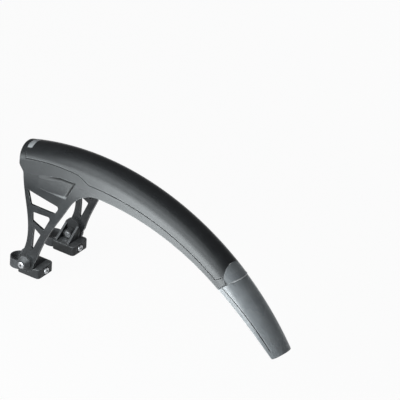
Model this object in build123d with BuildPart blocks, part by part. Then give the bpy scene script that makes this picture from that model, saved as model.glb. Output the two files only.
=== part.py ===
from build123d import *
import math
import os

# Clip-on rear mudguard for a bicycle. Millimetres, +X towards the tail, +Z up.
# The origin lies on the floor under the middle of the length, on the plane of symmetry.

# Pivot of the feet, and the top of the blade's arc measured from it
pivot_x = -169.68
pivot_z = 20.0
top_back = 65.8
top_rise = 159.1

# Blade section, measured from the crown
crown_r = 376.0
arch_r = 26.0
flank_lean = 20.0
wall = 2.8
leg_face_y = 54.5
leg_t = 4.0
leg_bend_r = 90.0

# Blade in side view; places along it are arc lengths from the top, positive towards the tail
front_s = -110.2
front_depth = 22.0
front_r = 4.0
joint_s = 254.6
joint_bulge = 7.8
joint_half_w = 27.0
root_s = -2.5
root_depth = 38.8
joint_depth = 23.8
leg_fillet_r = 42.0
leg_top_r = 6.0
heel_r = 2.5
pad_r = 13.0
pad_end_angle = 140.0
pad_rear_angle = 5.0

# Edges of the leg and its three windows, measured from the pivot
leg_top = (-27.4, 115.0)
leg_front = [(-12.0, 81.7), (-0.4, 55.3), (-0.5, 30.1)]
leg_top_slope = (0.32, -0.95)
leg_rear = [(16.2, 7.4), (19.1, 17.7), (25.4, 34.7)]
upper_window = [(-13.5, 97.1), (41.0, 92.2), (36.5, 82.3), (-3.1, 81.1)]
middle_window = [(1.9, 73.6), (32.4, 75.8), (25.0, 56.6), (5.2, 62.9)]
lower_window = [(9.6, 55.4), (21.2, 48.8), (7.8, 18.3)]
window_r = 3.0
window_r_small = 1.2

# Sunk panel on the flanks, measured from the pivot
panel_outline = [(-0.2, 120.6), (32.7, 127.7), (56.8, 128.7), (46.8, 104.5), (-0.2, 104.9)]
panel_r = 4.0
panel_sink = 1.5
panel_run = 54.0
panel_hinge = (-0.2, 33.0)

# Styling line on the flanks, arc length and depth of its corners
line_w = 1.1
line_d = 0.8
line_front = (-101.1, 8.0)
line_corner = (-99.1, 14.9)
line_rise = (-48.6, 16.6)
line_step_top = (-7.9, 19.2)
line_step_low = (11.8, 26.2)
line_run = (128.0, 22.2)
line_rear = (243.5, 18.9)
line_end = (247.4, 11.3)
tail_line_depths = (18.3, 12.9, 8.6)
tail_line_start = 4.0
tail_line_stop = 10.4

# Tail flap
tail_depth = 10.4
tail_bow_depth = 18.6
tail_step = 0.5
tail_gap = 0.3
tongue_x = 2.0
tongue_w = 22.0
tongue_l = 17.8
tongue_over = 0.6
collar_l = 7.0
bead_w = 1.4
bead_h = 0.3
lip_t = 2.0
lip_gap = 0.2
lip_l = 10.0
tail_corner_r = 5.0
tail_half_w = 20.9
tail_flare = 0.148

# Socket and plug at the front end
socket_s = -98.4
socket_w = 26.0
socket_l = 8.6
plug_gap = 0.2
plug_flange_w = 1.2
plug_flange_t = 1.4

# Foot
foot_gap = 0.3
foot_y = 37.0
pad_gap = 0.6
base_in_y = 21.5
base_front = -12.2
base_rear = 21.3
base_h = 14.0
lug_t = 4.2
lug_r = 11.6
lug_rise = 7.0
boss_r = 6.4
boss_l = 9.6
rib_t = 3.0
rib_x = 9.3
rib_top_z = 11.2
rib_inset = 1.5
base_corner_r = 5.5
base_front_r = 1.5
base_edge_r = 1.2
cavity_front = -3.0
cavity_rear = 11.0

# Stay tube, strap and its carriage
tube_r = 10.8
tube_fit = 0.1
tube_x = -21.7
strap_t = 2.0
loop_z = 0.4
loop_h = 13.0
tab_y = 8.1
tab_z = 2.0
tab_h = 10.0
slot_gap = 0.3
carriage_l = 9.0
carriage_front = -2.0
carriage_z = 0.8
carriage_h = 11.2
hook_x = 1.5
hook_l = 2.6
hook_t = 3.0

# Screws, nuts and washers
screw_r = 2.5
screw_fit = 0.06
screw_end = 1.0
head_r = 4.75
head_h = 2.8
key_af = 3.0
key_d = 1.7
head_round = 1.5
nut_af = 8.0
nut_t = 4.0
nut_gap = 0.1
nut_x = 2.3
washer_r = 5.6
washer_t = 1.0
tension_z = 7.0
rear_sink = 2.8
cone_r = 9.5
cone_tip_r = 5.2
cone_h = 9.0
cone_rim = 3.0

# Allowances of shapes that only cut or overlap
beyond = 8.0
reach = 90.0
bite = 1.0

# Sizes that follow from those above
wheel_x = pivot_x + top_back
wheel_z = pivot_z + top_rise - crown_r
low_r = math.hypot(wheel_x - pivot_x, wheel_z - pivot_z) - 2 * pad_r
lug_y = leg_face_y - leg_t - foot_gap
base_out_y = leg_face_y - foot_gap
lean = math.radians(flank_lean)
tail_s = crown_r * math.acos(-wheel_z / (crown_r - tail_depth))
tail_mid = (joint_s + tail_s) / 2
tail_inner = wall + lip_gap + lip_t
first_s = -crown_r * math.atan2(top_back + 2 * pad_r, crown_r - top_rise)
last_s = joint_s + 3 * beyond
os.makedirs("parts", exist_ok=True)


def station(s):
    # Plane through the wheel axis; local x is lateral, local y is radial.
    a = s / crown_r
    return Plane((wheel_x, 0, wheel_z), x_dir=(0, 1, 0), z_dir=(math.cos(a), 0, -math.sin(a)))


def crown_plane(s):
    # Plane under the crown, square to its radius; local x runs towards the tail, local y is lateral.
    a = s / crown_r
    r = crown_r - reach
    foot = (wheel_x + r * math.sin(a), 0, wheel_z + r * math.cos(a))
    return Plane(foot, x_dir=(math.cos(a), 0, -math.sin(a)), z_dir=(math.sin(a), 0, math.cos(a)))


def sweep(start, end):
    # Turn about the wheel axis between two places along the crown.
    return math.degrees((end - start) / crown_r)


def at(s, depth):
    # Side-view point at a depth under the crown.
    a = s / crown_r
    r = crown_r - depth
    return (wheel_x + r * math.sin(a), wheel_z + r * math.cos(a))


def off_pivot(point):
    # Side-view point measured from the pivot.
    return (pivot_x + point[0], pivot_z + point[1])


def near(sketch, point):
    # Corner of a sketch that lies at a side-view point.
    return sketch.vertices().sort_by_distance((point[0], point[1], 0))[0]


def joint_edge(shift):
    # Bowed edge of the joint, moved towards the tail.
    ThreePointArc((shift, -joint_half_w), (shift + joint_bulge, 0), (shift, joint_half_w))


def joint_side(shift):
    # Everything on the tail's side of the joint edge, seen square to the crown.
    joint_edge(shift)
    Polyline(
        (shift, joint_half_w), (shift, reach), (2 * reach, reach),
        (2 * reach, -reach), (shift, -reach), (shift, -joint_half_w),
    )


def section(depth, leg_depth, low):
    # Closed arch outline at a depth below the outer face, down to a radius low.
    r = arch_r - depth
    mid = crown_r - arch_r
    tx = r * math.cos(lean)
    ty = mid + r * math.sin(lean)
    side = leg_face_y - leg_depth
    run = (side - tx) / math.sin(lean)
    corner_y = ty - run * math.cos(lean)
    bend = leg_bend_r - leg_depth
    cut = bend * math.tan(lean / 2)
    b1 = (side - cut * math.sin(lean), corner_y + cut * math.cos(lean))
    b2 = (side, corner_y - cut)
    bm = (side - bend + bend * math.cos(lean / 2), b2[1] + bend * math.sin(lean / 2))
    ThreePointArc((-tx, ty), (0, mid + r), (tx, ty))
    Line((tx, ty), b1)
    ThreePointArc(b1, bm, b2)
    Line(b2, (side, low))
    Line((side, low), (-side, low))
    Line((-side, low), (-b2[0], b2[1]))
    ThreePointArc((-b2[0], b2[1]), (-bm[0], bm[1]), (-b1[0], b1[1]))
    Line((-b1[0], b1[1]), (-tx, ty))


wheel_axis = Axis((wheel_x, 0, wheel_z), (0, 1, 0))
far_side = Plane.XZ.offset(-reach)

# Side view of the blade with its two legs
low_0 = at(root_s, root_depth)
low_m = at((root_s + joint_s) / 2, (root_depth + joint_depth) / 2)
low_1 = at(joint_s, joint_depth)
low_2 = at(last_s, joint_depth - (root_depth - joint_depth) * (last_s / joint_s - 1))
pad_rear = math.radians(pad_rear_angle)
pad_start = off_pivot((pad_r * math.cos(pad_rear), pad_r * math.sin(pad_rear)))
heel = off_pivot(leg_rear[0])
pad_side = math.radians(pad_end_angle)
pad_end = off_pivot((pad_r * math.cos(pad_side), pad_r * math.sin(pad_side)))
pad_low = off_pivot((0, -pad_r))
front_low = at(front_s, front_depth)
leg_corner = off_pivot(leg_top)

with BuildSketch(Plane.XZ) as side_view:
    with BuildLine():
        Line(at(front_s, -beyond), front_low)
        Line(front_low, leg_corner)
        Spline(
            leg_corner,
            *[off_pivot(point) for point in leg_front],
            pad_end,
            tangents=[leg_top_slope, (-math.sin(pad_side), math.cos(pad_side))],
        )
        ThreePointArc(pad_end, pad_low, pad_start)
        Line(pad_start, heel)
        Spline(*[off_pivot(point) for point in leg_rear], low_0)
        ThreePointArc(low_0, low_m, low_1)
        Line(low_1, low_2)
        Line(low_2, at(last_s, -beyond))
        ThreePointArc(at(last_s, -beyond), at(0, -beyond), at(front_s, -beyond))
    make_face()
    fillet(near(side_view, low_0), leg_fillet_r)
    fillet(near(side_view, leg_corner), leg_top_r)
    fillet(near(side_view, heel), heel_r)
    fillet(near(side_view, front_low), front_r)

with BuildSketch(far_side) as windows:
    for outline in (upper_window, middle_window, lower_window):
        with BuildLine():
            Polyline(*[off_pivot(point) for point in outline], close=True)
        make_face()
    for corner in (upper_window[1], upper_window[2], middle_window[1]):
        fillet(near(windows, off_pivot(corner)), window_r)
    for corner in (upper_window[0], upper_window[3], middle_window[0], middle_window[2], middle_window[3]):
        fillet(near(windows, off_pivot(corner)), window_r_small)
    for corner in lower_window:
        fillet(near(windows, off_pivot(corner)), window_r_small)

with BuildSketch(Plane.XZ) as panel:
    with BuildLine():
        Polyline(*[off_pivot(point) for point in panel_outline], close=True)
    make_face()
    fillet(near(panel, off_pivot(panel_outline[2])), panel_r)

with BuildSketch(far_side) as styling_line:
    with BuildLine() as styling_path:
        Line(at(*line_front), at(*line_corner))
        ThreePointArc(at(*line_corner), at(*line_rise), at(*line_step_top))
        Line(at(*line_step_top), at(*line_step_low))
        ThreePointArc(at(*line_step_low), at(*line_run), at(*line_rear))
        Line(at(*line_rear), at(*line_end))
    trace(styling_path.line, line_w)

# Solid under the outer face of the blade
with BuildPart() as core:
    with BuildSketch(station(first_s)):
        with BuildLine():
            section(0, 0, low_r)
        make_face()
    revolve(axis=wheel_axis, revolution_arc=sweep(first_s, last_s))

# Panel sunk into the flank, deeper towards the tail
sink_axis = Axis((pivot_x + panel_hinge[0], panel_hinge[1], 0), (0, 0, 1))
with BuildPart() as panel_cut:
    extrude(panel.sketch, amount=-reach)
    add(core.part.rotate(sink_axis, -math.degrees(math.atan(panel_sink / panel_run))), mode=Mode.SUBTRACT)

# Styling line, a shallow channel in the outer face
with BuildPart() as line_cut:
    with BuildSketch(station(first_s)):
        with BuildLine():
            section(-bite, -bite, low_r)
        make_face()
        with BuildLine():
            section(line_d, line_d, low_r - beyond)
        make_face(mode=Mode.SUBTRACT)
    revolve(axis=wheel_axis, revolution_arc=sweep(first_s, last_s))
    extrude(styling_line.sketch, amount=2 * reach, mode=Mode.INTERSECT)

# End of the blade, seen square to the crown: bowed, with a round notch for the tongue
with BuildSketch(crown_plane(joint_s)) as blade_end:
    with BuildLine():
        joint_side(0)
    make_face()
    with Locations((tongue_x, 0)):
        Ellipse(tongue_l, tongue_w)

with BuildPart() as blade:
    with BuildSketch(station(first_s)):
        with BuildLine():
            section(0, 0, low_r)
        make_face()
        with BuildLine():
            section(wall, leg_t, low_r - beyond)
        make_face(mode=Mode.SUBTRACT)
    revolve(axis=wheel_axis, revolution_arc=sweep(first_s, last_s))
    add(line_cut.part, mode=Mode.SUBTRACT)
    add(panel_cut.part, mode=Mode.SUBTRACT)
    add(mirror(panel_cut.part, about=Plane.XZ), mode=Mode.SUBTRACT)
    extrude(blade_end.sketch, amount=2 * reach, mode=Mode.SUBTRACT)
    with BuildSketch(station(socket_s - socket_l / 2)):
        with Locations((0, crown_r)):
            Rectangle(socket_w, arch_r)
    revolve(axis=wheel_axis, revolution_arc=sweep(0, socket_l), mode=Mode.SUBTRACT)
    extrude(side_view.sketch, amount=reach, both=True, mode=Mode.INTERSECT)
    extrude(windows.sketch, amount=2 * reach, mode=Mode.SUBTRACT)
    with BuildSketch(far_side):
        with Locations((pivot_x, pivot_z)):
            Circle(screw_r + screw_fit)
    extrude(amount=2 * reach, mode=Mode.SUBTRACT)

# Tail flap: a stepped-down shell past the joint, a tongue in the notch, a lip under the blade
tail_first = joint_s - tongue_l - beyond
tail_end = at(tail_s, tail_depth)
with BuildSketch(far_side) as tail_side:
    with BuildLine():
        Line(at(tail_first, -beyond), at(tail_first, joint_depth))
        Line(at(tail_first, joint_depth), low_1)
        ThreePointArc(low_1, at(tail_mid, tail_bow_depth), tail_end)
        Line(tail_end, at(tail_s, -beyond))
        ThreePointArc(at(tail_s, -beyond), at(tail_mid, -beyond), at(tail_first, -beyond))
    make_face()

with BuildSketch(crown_plane(joint_s)) as tail_start:
    with BuildLine():
        joint_side(tail_gap)
    make_face()

with BuildSketch(crown_plane(joint_s)) as tail_collar:
    with BuildLine():
        joint_edge(tail_gap)
        Line((tail_gap, joint_half_w), (tail_gap + collar_l, joint_half_w))
        joint_edge(tail_gap + collar_l)
        Line((tail_gap, -joint_half_w), (tail_gap + collar_l, -joint_half_w))
    make_face()

with BuildSketch(crown_plane(joint_s)) as tail_bead:
    with BuildLine():
        joint_edge(tail_gap)
        Line((tail_gap, joint_half_w), (tail_gap + bead_w, joint_half_w))
        joint_edge(tail_gap + bead_w)
        Line((tail_gap, -joint_half_w), (tail_gap + bead_w, -joint_half_w))
    make_face()

with BuildSketch(crown_plane(joint_s)) as tongue_view:
    with Locations((tongue_x, 0)):
        Ellipse(tongue_l - tail_gap, tongue_w - tail_gap)
    with BuildLine():
        joint_side(tail_gap + tongue_over)
    make_face(mode=Mode.SUBTRACT)

with BuildSketch(crown_plane(tail_s)) as tail_plan:
    far_half_w = tail_half_w + 2 * reach * tail_flare
    with BuildLine():
        Polyline(
            (0, -tail_half_w), (0, tail_half_w),
            (-2 * reach, far_half_w), (-2 * reach, -far_half_w),
            close=True,
        )
    make_face()
    fillet(tail_plan.vertices().sort_by_distance((0, 0, 0))[0:2], tail_corner_r)

with BuildPart() as tongue:
    with BuildSketch(station(tail_first)):
        with BuildLine():
            section(0, 0, low_r)
        make_face()
        with BuildLine():
            section(tail_inner, tail_inner, low_r - beyond)
        make_face(mode=Mode.SUBTRACT)
    revolve(axis=wheel_axis, revolution_arc=sweep(tail_first, last_s))
    extrude(tongue_view.sketch, amount=2 * reach, mode=Mode.INTERSECT)

with BuildPart() as collar:
    with BuildSketch(station(tail_first)):
        with BuildLine():
            section(tail_step, tail_step, low_r)
        make_face()
        with BuildLine():
            section(tail_inner, tail_inner, low_r - beyond)
        make_face(mode=Mode.SUBTRACT)
    revolve(axis=wheel_axis, revolution_arc=sweep(tail_first, last_s))
    extrude(tail_collar.sketch, amount=2 * reach, mode=Mode.INTERSECT)

with BuildPart() as bead:
    with BuildSketch(station(tail_first)):
        with BuildLine():
            section(-bead_h, -bead_h, low_r)
        make_face()
        with BuildLine():
            section(wall, wall, low_r - beyond)
        make_face(mode=Mode.SUBTRACT)
    revolve(axis=wheel_axis, revolution_arc=sweep(tail_first, last_s))
    extrude(tail_bead.sketch, amount=2 * reach, mode=Mode.INTERSECT)

with BuildPart() as lip:
    with BuildSketch(station(joint_s - lip_l)):
        with BuildLine():
            section(wall + lip_gap, wall + lip_gap, low_r)
        make_face()
        with BuildLine():
            section(tail_inner, tail_inner, low_r - beyond)
        make_face(mode=Mode.SUBTRACT)
    revolve(axis=wheel_axis, revolution_arc=sweep(-lip_l, joint_bulge))

with BuildPart() as tail_line_cut:
    with BuildSketch(station(joint_s)):
        with BuildLine():
            section(-bite, -bite, low_r)
        make_face()
        with BuildLine():
            section(tail_step + line_d, tail_step + line_d, low_r - beyond)
        make_face(mode=Mode.SUBTRACT)
    revolve(axis=wheel_axis, revolution_arc=sweep(joint_s, tail_s))
    with BuildSketch(far_side):
        with BuildLine() as tail_path:
            ThreePointArc(
                at(joint_s + tail_line_start, tail_line_depths[0]),
                at(tail_mid, tail_line_depths[1]),
                at(tail_s - tail_line_stop, tail_line_depths[2]),
            )
        trace(tail_path.line, line_w)
    extrude(amount=2 * reach, mode=Mode.INTERSECT)

with BuildPart() as tail_flap:
    with BuildSketch(station(joint_s - beyond)):
        with BuildLine():
            section(tail_step, tail_step, low_r)
        make_face()
        with BuildLine():
            section(wall, wall, low_r - beyond)
        make_face(mode=Mode.SUBTRACT)
    revolve(axis=wheel_axis, revolution_arc=sweep(joint_s - beyond, tail_s))
    extrude(tail_start.sketch, amount=2 * reach, mode=Mode.INTERSECT)
    add(collar.part)
    add(lip.part)
    add(tongue.part)
    add(bead.part)
    extrude(tail_side.sketch, amount=2 * reach, mode=Mode.INTERSECT)
    add(tail_line_cut.part, mode=Mode.SUBTRACT)
    extrude(tail_plan.sketch, amount=2 * reach, mode=Mode.INTERSECT)

# Plug that closes the unused socket at the front end, with a flange under the blade
plug_in = wall + plug_gap + plug_flange_t
with BuildPart() as end_plug:
    with BuildSketch(station(socket_s - socket_l / 2 + plug_gap)):
        with BuildLine():
            section(plug_gap, plug_gap, low_r)
        make_face()
        with BuildLine():
            section(plug_in, plug_in, low_r - beyond)
        make_face(mode=Mode.SUBTRACT)
        with Locations((0, crown_r)):
            Rectangle(socket_w - 2 * plug_gap, arch_r, mode=Mode.INTERSECT)
    revolve(axis=wheel_axis, revolution_arc=sweep(0, socket_l - 2 * plug_gap))
    with BuildSketch(station(socket_s - socket_l / 2 - plug_flange_w)):
        with BuildLine():
            section(wall + plug_gap, wall + plug_gap, low_r)
        make_face()
        with BuildLine():
            section(plug_in, plug_in, low_r - beyond)
        make_face(mode=Mode.SUBTRACT)
        with Locations((0, crown_r)):
            Rectangle(socket_w - 2 * plug_gap, arch_r, mode=Mode.INTERSECT)
    revolve(axis=wheel_axis, revolution_arc=sweep(0, socket_l + 2 * plug_flange_w))

# Right foot; the left one is its mirror image
loop_in = tube_r + tube_fit
loop_out = loop_in + strap_t
tab_out = tab_y + strap_t
boss_end = lug_y - lug_t - boss_l
base_w = base_out_y - base_in_y
cone_angle = math.degrees(math.atan((cone_r - cone_tip_r) / (cone_h - cone_rim)))
base_l = base_rear - base_front
roof_z = tab_z + tab_h + slot_gap
head_x = base_rear - rear_sink + washer_t
sole = Plane((pivot_x, foot_y, 0))
lug_face = Plane((pivot_x, lug_y, pivot_z), x_dir=(1, 0, 0), z_dir=(0, -1, 0))
leg_outside = Plane((pivot_x, leg_face_y, pivot_z), x_dir=(1, 0, 0), z_dir=(0, 1, 0))
rear_face = Plane((pivot_x + base_rear, foot_y, tension_z), x_dir=(0, 1, 0), z_dir=(1, 0, 0))
rib_back = lug_y - lug_t + bite / 2
rib_h = pivot_z + rib_top_z - base_h + bite
slot_l = cavity_front - base_front + bite

with BuildPart() as right_base:
    with BuildSketch(sole) as base_plan:
        with Locations(((base_front + base_rear) / 2, (base_in_y + base_out_y) / 2 - foot_y)):
            Rectangle(base_l, base_w)
        fillet(base_plan.vertices().group_by(Axis.X)[-1], base_corner_r)
        fillet(base_plan.vertices().group_by(Axis.X)[0], base_front_r)
    extrude(amount=base_h)
    fillet(right_base.faces().sort_by(Axis.Z)[-1].edges(), base_edge_r)
    chamfer(right_base.faces().sort_by(Axis.Z)[0].edges(), base_edge_r)
    with BuildSketch(lug_face):
        Circle(pad_r + pad_gap)
    extrude(amount=lug_y - base_out_y - bite, mode=Mode.SUBTRACT)
    with BuildSketch(lug_face):
        with Locations((0, lug_rise)):
            Circle(lug_r)
            Rectangle(2 * lug_r, lug_rise + pivot_z - base_h + bite, align=(Align.CENTER, Align.MAX))
    extrude(amount=lug_t)
    with BuildSketch(lug_face):
        Circle(boss_r)
    extrude(amount=lug_t + boss_l)
    for way in (1, -1):
        rib_foot = (pivot_x + way * rib_x, 0, base_h - bite)
        with BuildSketch(Plane(rib_foot, x_dir=(0, 1, 0), z_dir=(1, 0, 0))):
            with BuildLine():
                Polyline((rib_back, 0), (rib_back, rib_h), (base_in_y + rib_inset, 0), close=True)
            make_face()
        extrude(amount=rib_t / 2, both=True)
    with BuildSketch(sole):
        with Locations((tube_x, 0)):
            Circle(loop_out + slot_gap)
        with Locations((tube_x, 0)):
            Rectangle(2 * reach, 2 * (tab_y - slot_gap), mode=Mode.SUBTRACT)
        with Locations((tube_x, 0)):
            Circle(loop_in)
    extrude(amount=base_h + slot_gap, mode=Mode.SUBTRACT)
    with BuildSketch(sole):
        with Locations(((cavity_front + cavity_rear) / 2, 0)):
            Rectangle(cavity_rear - cavity_front, 2 * (tab_out + slot_gap))
    extrude(amount=roof_z, mode=Mode.SUBTRACT)
    with BuildSketch(sole.offset(tab_z - slot_gap)):
        for way in (1, -1):
            with Locations((base_front, way * (tab_y + tab_out) / 2)):
                Rectangle(slot_l, strap_t + 2 * slot_gap, align=(Align.MIN, Align.CENTER))
    extrude(amount=tab_h + 2 * slot_gap, mode=Mode.SUBTRACT)
    with BuildSketch(rear_face):
        Circle(screw_r + slot_gap)
    extrude(amount=cavity_rear - base_rear - bite, mode=Mode.SUBTRACT)
    with BuildSketch(rear_face):
        Circle(washer_r + slot_gap)
    extrude(amount=-rear_sink, mode=Mode.SUBTRACT)
    with BuildSketch(lug_face):
        Circle(screw_r + screw_fit)
    extrude(amount=lug_t + boss_l, mode=Mode.SUBTRACT)
    with BuildSketch(lug_face.offset(lug_t + boss_l)):
        RegularPolygon(nut_af / 2 + nut_gap, 6, major_radius=False)
    extrude(amount=-nut_t - nut_gap, mode=Mode.SUBTRACT)

# Strap round the stay, its two tabs hooked into the carriage
with BuildPart() as right_strap:
    with BuildSketch(sole.offset(loop_z)):
        with Locations((tube_x, 0)):
            Circle(loop_out)
            Circle(loop_in, mode=Mode.SUBTRACT)
            Rectangle(loop_out, 2 * tab_y, align=(Align.MIN, Align.CENTER), mode=Mode.SUBTRACT)
    extrude(amount=loop_h)
    with BuildSketch(sole.offset(tab_z)):
        for way in (1, -1):
            with Locations((hook_x + hook_t / 2, way * (tab_y + tab_out) / 2)):
                Rectangle(hook_x + hook_t / 2 - tube_x, strap_t, align=(Align.MAX, Align.CENTER))
            with Locations((hook_x, way * (tab_y - (hook_l - bite) / 2))):
                Rectangle(hook_t, hook_l + bite)
        with Locations((tube_x, 0)):
            Circle(loop_in, mode=Mode.SUBTRACT)
    extrude(amount=tab_h)

with BuildPart() as right_carriage:
    with BuildSketch(sole.offset(carriage_z)):
        with Locations((carriage_l / 2 + carriage_front, 0)):
            Rectangle(carriage_l, 2 * (tab_y - slot_gap))
        with Locations((hook_x, tab_y), (hook_x, -tab_y)):
            Rectangle(hook_t + 2 * nut_gap, 2 * (hook_l + nut_gap), mode=Mode.SUBTRACT)
    extrude(amount=carriage_h)
    with BuildSketch(sole.offset(tension_z - nut_af / 2 - nut_gap)):
        with Locations((nut_x + nut_t / 2, 0)):
            Rectangle(nut_t + 2 * nut_gap, nut_af + 2 * nut_gap)
    extrude(amount=carriage_h, mode=Mode.SUBTRACT)
    with BuildSketch(rear_face):
        Circle(screw_r + slot_gap)
    extrude(amount=-reach, mode=Mode.SUBTRACT)

with BuildPart() as right_tension_nut:
    with BuildSketch(rear_face.offset(nut_x - base_rear)):
        Rectangle(nut_af, nut_af)
        Circle(screw_r + screw_fit, mode=Mode.SUBTRACT)
    extrude(amount=nut_t)

with BuildPart() as right_tension_washer:
    with BuildSketch(rear_face.offset(-rear_sink)):
        Circle(washer_r)
        Circle(screw_r + slot_gap, mode=Mode.SUBTRACT)
    extrude(amount=washer_t)

with BuildPart() as right_tension_screw:
    with BuildSketch(rear_face.offset(head_x - base_rear)):
        Circle(head_r)
    extrude(amount=head_h)
    fillet(right_tension_screw.edges().group_by(Axis.X)[-1], head_round)
    with BuildSketch(rear_face.offset(head_x - base_rear)):
        Circle(screw_r)
    extrude(amount=carriage_front + screw_end - head_x)
    with BuildSketch(rear_face.offset(head_x - base_rear + head_h)):
        RegularPolygon(key_af / 2, 6, major_radius=False)
    extrude(amount=-key_d, mode=Mode.SUBTRACT)

# Pivot: screw head on a conical washer outside the leg, nut in the boss
with BuildPart() as right_pivot_cone:
    with BuildSketch(leg_outside):
        Circle(cone_r)
    extrude(amount=cone_rim)
    with BuildSketch(leg_outside.offset(cone_rim)):
        Circle(cone_r)
    extrude(amount=cone_h - cone_rim, taper=cone_angle)
    with BuildSketch(leg_outside):
        Circle(screw_r + screw_fit)
    extrude(amount=cone_h, mode=Mode.SUBTRACT)

with BuildPart() as right_pivot_screw:
    with BuildSketch(leg_outside.offset(cone_h)):
        Circle(head_r)
    extrude(amount=head_h)
    fillet(right_pivot_screw.edges().group_by(Axis.Y)[-1], head_round)
    with BuildSketch(leg_outside.offset(cone_h)):
        Circle(screw_r)
    extrude(amount=boss_end - screw_end - leg_face_y - cone_h)
    with BuildSketch(leg_outside.offset(cone_h + head_h)):
        RegularPolygon(key_af / 2, 6, major_radius=False)
    extrude(amount=-key_d, mode=Mode.SUBTRACT)

with BuildPart() as right_pivot_nut:
    with BuildSketch(lug_face.offset(lug_t + boss_l)):
        RegularPolygon(nut_af / 2, 6, major_radius=False)
        Circle(screw_r + screw_fit, mode=Mode.SUBTRACT)
    extrude(amount=-nut_t)

pieces = {
    "base": right_base,
    "strap": right_strap,
    "strap_carriage": right_carriage,
    "tension_nut": right_tension_nut,
    "tension_washer": right_tension_washer,
    "tension_screw": right_tension_screw,
    "pivot_cone": right_pivot_cone,
    "pivot_screw": right_pivot_screw,
    "pivot_nut": right_pivot_nut,
}
for label, piece in pieces.items():
    piece.part.label = "right_" + label
    export_step(piece.part, "parts/right_" + label + ".step")
    with BuildPart() as left_piece:
        add(mirror(piece.part, about=Plane.XZ))
    left_piece.part.label = "left_" + label
    export_step(left_piece.part, "parts/left_" + label + ".step")

blade.part.label = "blade"
export_step(blade.part, "parts/blade.step")
tail_flap.part.label = "tail_flap"
export_step(tail_flap.part, "parts/tail_flap.step")
end_plug.part.label = "end_plug"
export_step(end_plug.part, "parts/end_plug.step")
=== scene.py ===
import functools
import math

import bpy
from mathutils import Matrix, Vector


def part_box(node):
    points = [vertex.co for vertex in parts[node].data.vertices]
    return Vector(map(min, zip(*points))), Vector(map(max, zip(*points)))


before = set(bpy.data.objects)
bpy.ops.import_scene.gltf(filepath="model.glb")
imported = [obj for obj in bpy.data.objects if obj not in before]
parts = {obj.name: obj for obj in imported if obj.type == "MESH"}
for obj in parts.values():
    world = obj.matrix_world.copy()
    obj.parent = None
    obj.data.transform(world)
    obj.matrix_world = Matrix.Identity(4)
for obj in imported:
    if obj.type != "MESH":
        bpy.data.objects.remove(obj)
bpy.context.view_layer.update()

scene = bpy.context.scene

# All lengths are in metres. The finishes lie on the CAD's own nodes, and no piece is added.

# The blade's section: the wheel's axis, the crown, the arch and the flanks' lean.
WHEEL_X = -0.10388
WHEEL_Z = -0.1969
CROWN_R = 0.376
ARCH_R = 0.026
LEAN = math.radians(20)

# Radii from the wheel's axis over which the lower rim and the legs give way to the flanks.
RIM_FADE = (0.344, 0.346)
LEG_FADE = (0.325, 0.346)

# Tilts over which a face turns from one that looks at the wheel's axis to one that doesn't.
INWARD_FADE = (-0.6, -0.4)

# Half the depth over which a styling line's painted shade begins or ends.
GROOVE_SOFT = 0.0001

# Side view of the sunk panel, round from the upper front corner to the lower front one.
PANEL = ((-0.1699, 0.1406), (-0.1370, 0.1477), (-0.1129, 0.1487),
         (-0.1229, 0.1245), (-0.1699, 0.1249))

# The panel's marks: the depth they end at, where along x they set in, and the width of the painted
# shade in its corner.
PANEL_DEPTH_FADE = (0.0018, 0.0022)
PANEL_START = (-0.172, -0.140)
CORNER_FADE = (0.0014, 0.0050)

# The painted highlight on the ledge at the panel's foot widens towards the rear.
LEDGE_TAPER = (-0.150, -0.123)
LEDGE_GAIN = 0.0030
LEDGE_FADE = (-0.0008, 0.0008)
LEDGE_HIGHLIGHT = 0.8

# The tail's bead: depths of its top and of the joint beside it, and distances from the middle at
# which its painted highlight ends and the joint's dirt begins.
BEAD_TOP = (-0.00022, -0.00008)
BEAD_JOINT = (0.00015, 0.00030)
BEAD_HIGHLIGHT = (0.014, 0.018)
BEAD_LOW_END = (0.0195, 0.0215)

# What a mask goes from and to, and the band that most of a noise lies in.
RISE = (0.0, 1.0)
FALL = (1.0, 0.0)
NOISE_BAND = (0.3, 0.7)

# Cosines of the turn between a rounded edge and its flat face, from no painted edge highlight to a
# full one.
EDGE_TURN = (0.99, 0.80)

# The Mix node's sockets for colours.
MIX_FIRST, MIX_SECOND, MIX_RESULT = 6, 7, 2

# Moulded plastic and rubber.
SCUFF_STRETCH = (24, 420, 60)
# How much duller the painted shade in corners and grooves, and the dirt in joints, make the
# plastic.
SHADE_AND_DIRT_DULLS = 0.8
PLASTIC_IOR = 1.5
RUBBER_IOR = 1.52

# Plated steel.
STEEL_DULL = (0.60, 0.61, 0.63)
STEEL_BRIGHT = (0.80, 0.80, 0.81)
STEEL_SPECK = (0.34, 0.33, 0.32)
# The colour of the painted shade in recesses, and how much duller the recesses are.
STEEL_RECESS_SHADE = (0.015, 0.015, 0.016)
RECESS_DULLS = 0.4

# Lamps. The key and its card share one place, and the card is seen in mirrors alone.
LAMP_COLOUR = (0.92, 0.98, 1.0)
KEY = {"where": (-0.15, -1.05, 0.20), "aim": (-0.08, 0.0, 0.10), "size": (0.94, 0.36)}

# The floor lies just under the lowest point that a foot swung to its limit reaches.
FLOOR_Z = -0.020
FLOOR_HALF = 6.0
FLOOR_COLOUR = (0.86, 0.86, 0.86, 1)
FLOOR_CAMERA_SHARE = 0.95
FLOOR_MIRROR_SHARE = 0.38

# The world: a faint sky for the light, and white for the camera.
SKY_COLOUR = (0.95, 0.97, 1.0, 1)
SKY_STRENGTH = 0.13
PAPER_COLOUR = (1, 1, 1, 1)

# The photograph's view.
VIEW_RIGHT = Vector((0.8031, 0.5948, 0.0356))
VIEW_UP = Vector((-0.3312, 0.3959, 0.8566))
VIEW_CENTRE = Vector((-0.03418, 0.1398, 0.0766))
VIEW_WIDTH = 0.5195
VIEW_DISTANCE = 2.5


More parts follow.
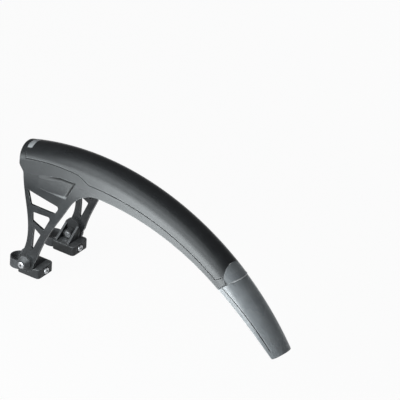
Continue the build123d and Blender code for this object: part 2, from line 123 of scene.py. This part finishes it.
class Nodes:
    """An emptied node tree, with short ways to add nodes and join them."""

    def __init__(self, owner):
        owner.use_nodes = True
        self.tree = owner.node_tree
        self.tree.nodes.clear()

    def add(self, kind, **values):
        node = self.tree.nodes.new(kind)
        for key, value in values.items():
            setattr(node, key, value)
        return node

    def link(self, out, into):
        self.tree.links.new(out, into)

    def maths(self, operation, *values):
        node = self.add("ShaderNodeMath", operation=operation)
        for end, value in zip(node.inputs, values):
            if isinstance(value, (int, float)):
                end.default_value = value
            else:
                self.link(value, end)
        return node.outputs[0]

    def end_in_mix(self, output, share, first, second):
        """Ends the tree in two shaders, of which the second has the share."""
        mix = self.add("ShaderNodeMixShader")
        self.link(share, mix.inputs["Fac"])
        self.link(first.outputs[0], mix.inputs[1])
        self.link(second.outputs[0], mix.inputs[2])
        self.link(mix.outputs[0], self.add(output).inputs["Surface"])


class Shader(Nodes):
    """A finish's node tree, with short ways to add what the finishes share."""

    def __init__(self, name):
        self.mat = bpy.data.materials.new(name)
        super().__init__(self.mat)
        out = self.add("ShaderNodeOutputMaterial")
        self.bsdf = self.add("ShaderNodeBsdfPrincipled")
        self.link(self.bsdf.outputs["BSDF"], out.inputs["Surface"])
        self.place = self.add("ShaderNodeTexCoord").outputs["Object"]

    def mapped(self, scale=(1, 1, 1), location=(0, 0, 0)):
        node = self.add("ShaderNodeMapping")
        node.inputs["Scale"].default_value = scale
        node.inputs["Location"].default_value = location
        self.link(self.place, node.inputs["Vector"])
        return node.outputs["Vector"]

    def noise(self, scale, detail, roughness=0.55, vector=None):
        node = self.add("ShaderNodeTexNoise")
        node.inputs["Scale"].default_value = scale
        node.inputs["Detail"].default_value = detail
        node.inputs["Roughness"].default_value = roughness
        self.link(self.place if vector is None else vector, node.inputs["Vector"])
        return node.outputs["Fac"]

    def ramp(self, value, low, high):
        """A colour ramp between two stops, each a place and a colour."""
        node = self.add("ShaderNodeValToRGB")
        for element, (at, colour) in zip(node.color_ramp.elements, (low, high)):
            element.position = at
            element.color = (*colour, 1)
        self.link(value, node.inputs["Fac"])
        return node.outputs["Color"]

    def spread(self, value, span, result):
        """The value moved from one span to another, and held at both ends."""
        node = self.add("ShaderNodeMapRange")
        ends = ("From Min", "From Max", "To Min", "To Max")
        for key, number in zip(ends, (*span, *result)):
            node.inputs[key].default_value = number
        self.link(value, node.inputs["Value"])
        return node.outputs["Result"]

    def mix(self, factor, first, second):
        node = self.add("ShaderNodeMix", data_type="RGBA")
        self.link(factor, node.inputs["Factor"])
        for end, colour in ((MIX_FIRST, first), (MIX_SECOND, second)):
            if isinstance(colour, tuple):
                node.inputs[end].default_value = (*colour, 1)
            else:
                self.link(colour, node.inputs[end])
        return node.outputs[MIX_RESULT]

    def split(self, vector):
        node = self.add("ShaderNodeSeparateXYZ")
        self.link(vector, node.inputs[0])
        return node.outputs

    def length(self, first, second):
        """The long side of a right-angled triangle."""
        squares = (self.maths("MULTIPLY", side, side) for side in (first, second))
        return self.maths("SQRT", self.maths("ADD", *squares))

    def edges(self, radius):
        """1 along a sharp edge, 0 on the open face."""
        bevel = self.add("ShaderNodeBevel", samples=6)
        bevel.inputs["Radius"].default_value = radius
        flat = self.add("ShaderNodeNewGeometry").outputs["Normal"]
        dot = self.add("ShaderNodeVectorMath", operation="DOT_PRODUCT")
        self.link(bevel.outputs["Normal"], dot.inputs[0])
        self.link(flat, dot.inputs[1])
        return self.spread(dot.outputs["Value"], EDGE_TURN, RISE)

    def shelter(self, distance):
        """1 on the open face, falling to 0 down in a groove or a corner."""
        node = self.add("ShaderNodeAmbientOcclusion", samples=16)
        node.inputs["Distance"].default_value = distance
        return node.outputs["AO"]

    @functools.cached_property
    def outer_face(self):
        """Depth under the blade's outer face, radius from the wheel's axis, tilt to that radius."""
        x, y, z = self.split(self.place)
        dx = self.maths("SUBTRACT", x, WHEEL_X)
        dz = self.maths("SUBTRACT", z, WHEEL_Z)
        radius = self.length(dx, dz)
        side = self.maths("ABSOLUTE", y)
        rise = self.maths("SUBTRACT", radius, CROWN_R - ARCH_R)
        arch = self.maths("SUBTRACT", ARCH_R, self.length(side, rise))
        lean_out = self.maths("MULTIPLY", side, math.cos(LEAN))
        lean_up = self.maths("MULTIPLY", rise, math.sin(LEAN))
        flank = self.maths("SUBTRACT", ARCH_R, self.maths("ADD", lean_out, lean_up))
        on_arch = self.maths("GREATER_THAN", self.maths("DIVIDE", rise, side), math.tan(LEAN))
        shift = self.maths("MULTIPLY", on_arch, self.maths("SUBTRACT", arch, flank))
        depth = self.maths("ADD", flank, shift)
        nx, _, nz = self.split(self.add("ShaderNodeNewGeometry").outputs["Normal"])
        slope = self.maths("ADD", self.maths("MULTIPLY", nx, dx), self.maths("MULTIPLY", nz, dz))
        return depth, radius, self.maths("DIVIDE", slope, radius)

    def groove(self, low, high):
        """1 between two depths under the outer face, away from the lower rim and the legs."""
        depth, radius, tilt = self.outer_face
        under = self.spread(depth, (low - GROOVE_SOFT, low + GROOVE_SOFT), RISE)
        over = self.spread(depth, (high, high + 2 * GROOVE_SOFT), FALL)
        off_rim = self.spread(radius, RIM_FADE, RISE)
        outward = self.spread(tilt, INWARD_FADE, RISE)
        return self.maths("MULTIPLY", self.maths("MULTIPLY", under, over),
                          self.maths("MULTIPLY", off_rim, outward))

    def beyond(self, x, z, first, second):
        """Distance in side view to the right of a line that runs from one point to another."""
        (x0, z0), (x1, z1) = first, second
        length = math.hypot(x1 - x0, z1 - z0)
        across = self.maths("MULTIPLY", self.maths("SUBTRACT", x, x0), (z1 - z0) / length)
        down = self.maths("MULTIPLY", self.maths("SUBTRACT", z, z0), (x1 - x0) / length)
        return self.maths("SUBTRACT", across, down)

    def panel_edges(self):
        """Painted shade in the upper and rear corner of the sunk panel, and a painted highlight on
        the ledge at its foot.
        """
        x, _, z = self.split(self.place)
        depth, _, _ = self.outer_face
        front, top, rear, low = (self.beyond(x, z, *ends) for ends in zip(PANEL, PANEL[1:]))
        edge = self.maths("MINIMUM", self.maths("MINIMUM", front, top), rear)
        inside = self.maths("GREATER_THAN", self.maths("MINIMUM", edge, low), 0.0)
        inside = self.maths("MULTIPLY", inside, self.spread(depth, PANEL_DEPTH_FADE, FALL))
        inside = self.maths("MULTIPLY", inside, self.spread(x, PANEL_START, RISE))
        corner = self.spread(edge, CORNER_FADE, FALL)
        taper = self.spread(x, LEDGE_TAPER, (0.0, LEDGE_GAIN))
        ledge = self.spread(self.maths("SUBTRACT", low, taper), LEDGE_FADE, (LEDGE_HIGHLIGHT, 0.0))
        return self.maths("MULTIPLY", corner, inside), self.maths("MULTIPLY", ledge, inside)

    def bead_edges(self):
        """Dirt at the lower ends of the tail's joint, and a painted highlight along the middle of
        its raised bead.
        """
        depth, _, _ = self.outer_face
        side = self.maths("ABSOLUTE", self.split(self.place)[1])
        joint = self.spread(depth, BEAD_JOINT, FALL)
        low_end = self.spread(side, BEAD_LOW_END, RISE)
        raised = self.spread(depth, BEAD_TOP, FALL)
        painted_highlight = self.spread(side, BEAD_HIGHLIGHT, FALL)
        return self.maths("MULTIPLY", joint, low_end), self.maths("MULTIPLY", raised, painted_highlight)

    def bump(self, height, strength, distance, onto=None):
        node = self.add("ShaderNodeBump")
        node.inputs["Strength"].default_value = strength
        node.inputs["Distance"].default_value = distance
        self.link(height, node.inputs["Height"])
        if onto is not None:
            self.link(onto, node.inputs["Normal"])
        return node.outputs["Normal"]

    def finish(self, colour, roughness, normal, **constants):
        """Joins what varies to the shader, and sets its constants on the sockets themselves."""
        self.link(colour, self.bsdf.inputs["Base Color"])
        self.link(roughness, self.bsdf.inputs["Roughness"])
        self.link(normal, self.bsdf.inputs["Normal"])
        for key, value in constants.items():
            self.bsdf.inputs[key].default_value = value
        return self.mat


def moulded(name, *, dark, light, rim, shade_and_grime, gloss, grain, grain_depth,
            lines=None, marks=None, dust_and_top_light=None, sleek=None):
    """Moulded plastic: mottled colour, mould grain, edges lightened with a painted highlight broken
    up like wear, dull scuffs, and corners and grooves darkened with painted shade.

    lines: depths under the blade's outer face between which a styling line is darkened with painted
    shade.
    marks: a Shader method for a piece's own dark marks, painted shade in the panel's corner and
    dirt in the tail's joint, and its own painted highlights.
    dust: the colour of a pale film on the faces that look up, which is both dust and painted light
    on the tops.
    sleek: how much less rough the legs are than the flanks.
    """
    s = Shader(name)
    mottle = s.noise(scale=55, detail=5, roughness=0.6)
    body = s.ramp(mottle, (0.30, dark), (0.70, light))
    # Dust and painted light: faces that look up turn towards the dust colour.
    if dust_and_top_light:
        upward = s.split(s.add("ShaderNodeTexCoord").outputs["Normal"])[2]
        lying = s.spread(upward, (0.30, 0.75), RISE)
        uneven = s.spread(s.noise(scale=120, detail=4), NOISE_BAND, (0.55, 1.0))
        body = s.mix(s.maths("MULTIPLY", lying, uneven), body, dust_and_top_light)

    # Painted shade: sheltered corners and grooves turn towards the grime colour and become duller.
    open_face = s.shelter(distance=0.002)
    shade_and_dirt = s.spread(open_face, (0.45, 0.93), (0.9, 0.0))
    # Painted highlight: edges turn towards the rim colour, broken up like wear and kept out of
    # sheltered corners.
    broken = s.spread(s.noise(scale=210, detail=4), (0.30, 0.62), (0.25, 1.0))
    highlight_and_wear = s.maths("MULTIPLY", s.edges(radius=0.0009), broken)
    highlight_and_wear = s.maths("MULTIPLY", highlight_and_wear, s.spread(open_face, (0.50, 0.80), RISE))
    # Styling grooves darkened with painted shade.
    if lines:
        shade_and_dirt = s.maths("MAXIMUM", shade_and_dirt, s.groove(*lines))
    # The piece's own painted shade and joint dirt, and its painted highlights.
    if marks:
        shade_and_joint_dirt, painted_highlight = marks(s)
        shade_and_dirt = s.maths("MAXIMUM", shade_and_dirt, shade_and_joint_dirt)
        highlight_and_wear = s.maths("MAXIMUM", highlight_and_wear, painted_highlight)
    body = s.mix(shade_and_dirt, body, shade_and_grime)
    body = s.mix(highlight_and_wear, body, rim)

    streaks = s.noise(scale=1, detail=4, roughness=0.65, vector=s.mapped(scale=SCUFF_STRETCH))
    scuffs = s.spread(streaks, (0.60, 0.82), (0.0, 0.06))
    patch = s.spread(s.noise(scale=18, detail=3), NOISE_BAND, gloss)
    rough = s.maths("ADD", s.maths("ADD", patch, scuffs), s.maths("MULTIPLY", shade_and_dirt, SHADE_AND_DIRT_DULLS))
    if sleek:
        _, radius, _ = s.outer_face
        rough = s.maths("SUBTRACT", rough, s.spread(radius, LEG_FADE, (sleek, 0.0)))

    grains = s.noise(scale=grain, detail=2, roughness=0.5)
    normal = s.bump(grains, strength=grain_depth, distance=0.00008)
    waves = s.noise(scale=30, detail=2, roughness=0.5)
    normal = s.bump(waves, strength=0.012, distance=0.0006, onto=normal)
    return s.finish(body, rough, normal, IOR=PLASTIC_IOR)


def rubber(name, *, dark, light, rim):
    """Strap rubber: matt, with a close moulded stipple and a faint bloom."""
    s = Shader(name)
    bloom = s.noise(scale=90, detail=5, roughness=0.65)
    body = s.ramp(bloom, (0.35, dark), (0.72, light))
    # Painted highlight: edges turn towards the rim colour, broken up like wear.
    broken = s.spread(s.noise(scale=260, detail=3), NOISE_BAND, (0.2, 0.9))
    highlight_and_wear = s.maths("MULTIPLY", s.edges(radius=0.0008), broken)
    body = s.mix(highlight_and_wear, body, rim)
    rough = s.spread(bloom, NOISE_BAND, (0.56, 0.72))
    cells = s.add("ShaderNodeTexVoronoi")
    cells.inputs["Scale"].default_value = 1500
    s.link(s.place, cells.inputs["Vector"])
    normal = s.bump(cells.outputs["Distance"], strength=0.22, distance=0.00012)
    return s.finish(body, rough, normal, IOR=RUBBER_IOR)


def turned_steel(name, axis, centre):
    """Bright plated steel: turning rings round the axis, dull specks, and recesses darkened with
    painted shade.
    """
    s = Shader(name)
    cloud = s.noise(scale=240, detail=4, roughness=0.6)
    body = s.ramp(cloud, (0.30, STEEL_DULL), (0.72, STEEL_BRIGHT))
    specks = s.spread(s.noise(scale=900, detail=2), (0.66, 0.74), (0.0, 0.7))
    body = s.mix(specks, body, STEEL_SPECK)
    # Painted shade: recesses turn dark and dull.
    sunk = s.spread(s.shelter(distance=0.004), (0.35, 0.75), FALL)
    body = s.mix(sunk, body, STEEL_RECESS_SHADE)
    polish = s.spread(cloud, NOISE_BAND, (0.20, 0.34))
    rough = s.maths("ADD", polish, s.maths("MULTIPLY", sunk, RECESS_DULLS))
    rings = s.add("ShaderNodeTexWave", wave_type="RINGS", rings_direction=axis)
    rings.inputs["Scale"].default_value = 700
    rings.inputs["Distortion"].default_value = 0.6
    s.link(s.mapped(location=-centre), rings.inputs["Vector"])
    normal = s.bump(rings.outputs["Fac"], strength=0.10, distance=0.00008)
    return s.finish(body, rough, normal, Metallic=1.0)


def paint(names, material):
    for name in names:
        for slot in parts[name].material_slots:
            slot.material = material


def middle(name):
    low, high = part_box(name)
    return (Vector(low) + Vector(high)) / 2


# The rim colour is a painted highlight along edges; the grime colour is painted shade in corners
# and grooves, and dirt in the tail's joint.
black = moulded(
    "black_moulded", dark=(0.023, 0.0245, 0.026), light=(0.033, 0.035, 0.037),
    rim=(0.22, 0.225, 0.23), shade_and_grime=(0.003, 0.003, 0.003), gloss=(0.27, 0.30),
    grain=2100, grain_depth=0.03, lines=(0.00025, 0.0016), marks=Shader.panel_edges, sleek=0.12)
grey = moulded(
    "grey_moulded", dark=(0.245, 0.259, 0.270), light=(0.300, 0.315, 0.328),
    rim=(0.70, 0.71, 0.72), shade_and_grime=(0.020, 0.021, 0.022), gloss=(0.26, 0.29),
    grain=2100, grain_depth=0.03, lines=(0.0008, 0.0020), marks=Shader.bead_edges)
pale = moulded(
    "pale_moulded", dark=(0.58, 0.595, 0.61), light=(0.66, 0.675, 0.69),
    rim=(0.75, 0.76, 0.77), shade_and_grime=(0.05, 0.05, 0.05), gloss=(0.30, 0.36),
    grain=2100, grain_depth=0.03)
# The feet's faces that look up take a pale film: dust, and painted light on the tops.
matt = moulded(
    "matt_moulded", dark=(0.016, 0.017, 0.018), light=(0.026, 0.027, 0.029),
    rim=(0.20, 0.205, 0.21), shade_and_grime=(0.005, 0.005, 0.005), gloss=(0.40, 0.50),
    grain=1500, grain_depth=0.20, dust_and_top_light=(0.19, 0.193, 0.197))
strap_rubber = rubber(
    "strap_rubber", dark=(0.030, 0.031, 0.034), light=(0.052, 0.053, 0.057),
    rim=(0.17, 0.17, 0.175))

paint(["blade"], black)
paint(["tail_flap"], grey)
paint(["end_plug"], pale)
for side in ("left", "right"):
    paint([f"{side}_base", f"{side}_strap_carriage", f"{side}_pivot_cone"], matt)
    paint([f"{side}_strap"], strap_rubber)
    across = turned_steel(f"{side}_pivot_steel", "Y", middle(f"{side}_pivot_screw"))
    paint([f"{side}_pivot_screw", f"{side}_pivot_nut"], across)
    along = turned_steel(f"{side}_tension_steel", "X", middle(f"{side}_tension_screw"))
    paint([f"{side}_tension_screw", f"{side}_tension_washer", f"{side}_tension_nut"], along)


def area(name, *, where, aim, size, level, lit=True, mirrored=True):
    """A soft rectangular lamp whose face is level times as bright as white.

    lit: whether plain surfaces take its light.
    mirrored: whether glossy ones show it.
    """
    width, height = size
    data = bpy.data.lights.new(name, "AREA")
    data.shape = "RECTANGLE"
    data.size, data.size_y = width, height
    data.color = LAMP_COLOUR
    data.energy = level * math.pi * width * height
    lamp = bpy.data.objects.new(name, data)
    scene.collection.objects.link(lamp)
    lamp.location = where
    lamp.rotation_mode = "QUATERNION"
    lamp.rotation_quaternion = (Vector(aim) - Vector(where)).to_track_quat("-Z", "Y")
    lamp.visible_diffuse = lit
    lamp.visible_glossy = mirrored


area("key", **KEY, level=8.5)
area("key_card", **KEY, level=15.5, lit=False)
area("left_card", where=(-0.95, -0.75, 0.37), aim=(0.0, 0.0, 0.12), size=(0.70, 0.28),
     level=5.0, lit=False)
area("mid_card", where=(-0.12, -1.05, 0.53), aim=(0.0, 0.0, 0.10), size=(1.10, 0.30),
     level=4.8)
area("upper_card", where=(-0.15, -0.85, 0.92), aim=(0.0, 0.0, 0.10), size=(1.60, 0.45),
     level=3.0, lit=False)
area("high_card", where=(-0.10, -0.50, 1.25), aim=(0.0, 0.0, 0.10), size=(1.60, 0.60),
     level=1.2, lit=False)
area("back", where=(0.25, 1.15, 0.35), aim=(0.0, 0.0, 0.09), size=(1.0, 0.60),
     level=1.6, mirrored=False)

corners = [(FLOOR_HALF * x, FLOOR_HALF * y, 0) for x, y in ((-1, -1), (1, -1), (1, 1), (-1, 1))]
floor_data = bpy.data.meshes.new("floor")
floor_data.from_pydata(corners, [], [(0, 1, 2, 3)])
floor = bpy.data.objects.new("floor", floor_data)
scene.collection.objects.link(floor)
floor.location.z = FLOOR_Z

# The floor is nearly white to the camera, dimmer in mirrors, and a plain pale grey otherwise.
ground = bpy.data.materials.new("pale_floor")
nodes = Nodes(ground)
diffuse = nodes.add("ShaderNodeBsdfDiffuse")
diffuse.inputs["Color"].default_value = FLOOR_COLOUR
white = nodes.add("ShaderNodeEmission")
ray = nodes.add("ShaderNodeLightPath").outputs
mirrored = nodes.maths("MAXIMUM", ray["Is Glossy Ray"], ray["Is Transmission Ray"])
dimmed = nodes.maths("MULTIPLY", mirrored, FLOOR_MIRROR_SHARE)
share = nodes.maths("MULTIPLY_ADD", ray["Is Camera Ray"], FLOOR_CAMERA_SHARE, dimmed)
nodes.end_in_mix("ShaderNodeOutputMaterial", share, diffuse, white)
floor_data.materials.append(ground)

world = bpy.data.worlds.new("studio")
scene.world = world
nodes = Nodes(world)
sky = nodes.add("ShaderNodeBackground")
sky.inputs["Color"].default_value = SKY_COLOUR
sky.inputs["Strength"].default_value = SKY_STRENGTH
paper = nodes.add("ShaderNodeBackground")
paper.inputs["Color"].default_value = PAPER_COLOUR
seen = nodes.add("ShaderNodeLightPath").outputs["Is Camera Ray"]
nodes.end_in_mix("ShaderNodeOutputWorld", seen, sky, paper)

lens = bpy.data.cameras.new("camera")
lens.type = "ORTHO"
lens.ortho_scale = VIEW_WIDTH
camera = bpy.data.objects.new("camera", lens)
scene.collection.objects.link(camera)
back = VIEW_RIGHT.cross(VIEW_UP).normalized()
up = back.cross(VIEW_RIGHT).normalized()
turn = Matrix((VIEW_RIGHT.normalized(), up, back)).transposed()
camera.rotation_mode = "QUATERNION"
camera.rotation_quaternion = turn.to_quaternion()
camera.location = VIEW_CENTRE + VIEW_DISTANCE * back
scene.camera = camera

scene.view_settings.view_transform = "Standard"
